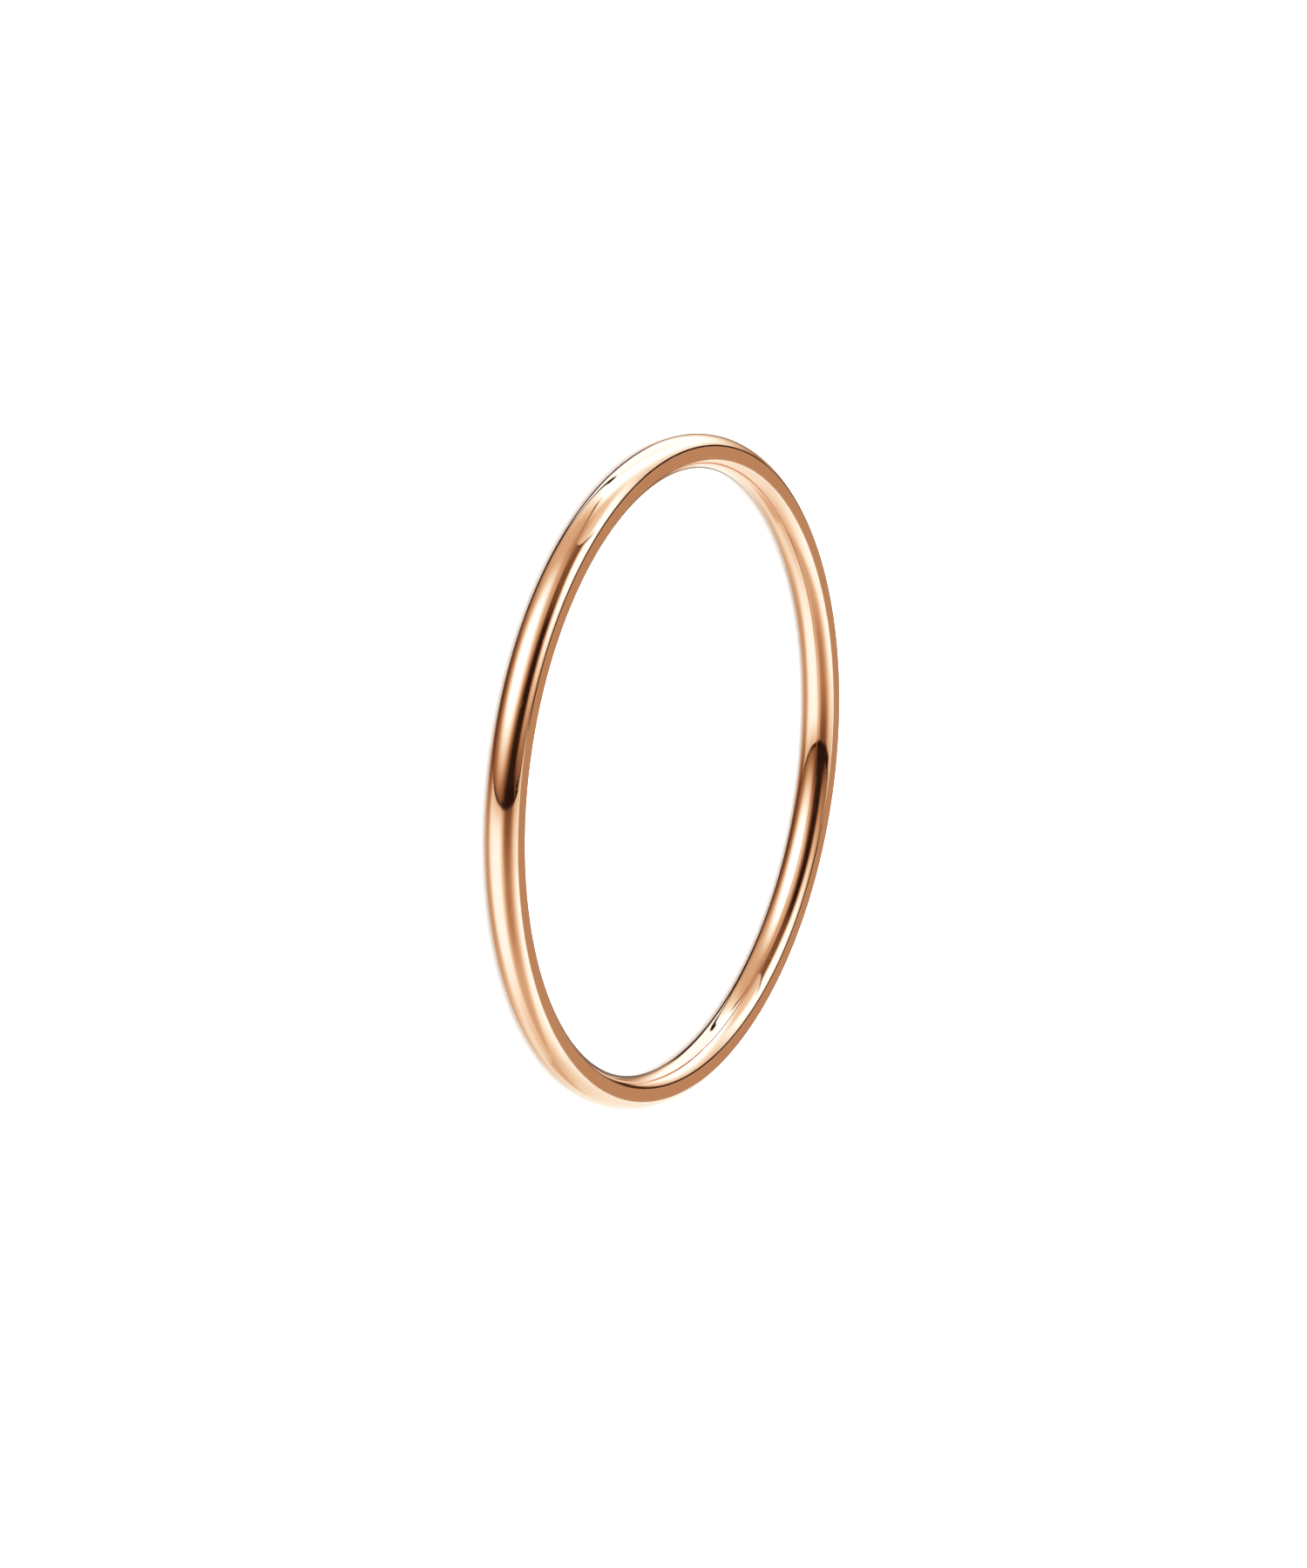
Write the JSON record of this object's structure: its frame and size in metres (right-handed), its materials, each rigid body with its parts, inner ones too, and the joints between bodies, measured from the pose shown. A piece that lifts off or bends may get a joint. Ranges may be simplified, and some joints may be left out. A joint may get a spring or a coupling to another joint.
{
  "type": "stackable ring",
  "caption": "Thin plain finger ring: a polished rose gold band with flat side faces and domed outer and inner surfaces, made to be worn stacked.",
  "frame": {"origin": "middle of the finger hole, at the lower side face that the ring lies on", "axes": "+Z along the finger hole, up from the surface that the ring lies on; X and Y across the hole, and the ring is the same all round"},
  "size_m": [0.0188, 0.0188, 0.001],
  "materials": {
    "rose_gold": "mirror-polished rose gold plating over steel"
  },
  "bodies": {
    "root": {"ring_band": "rose_gold"}
  },
  "joints": []
}
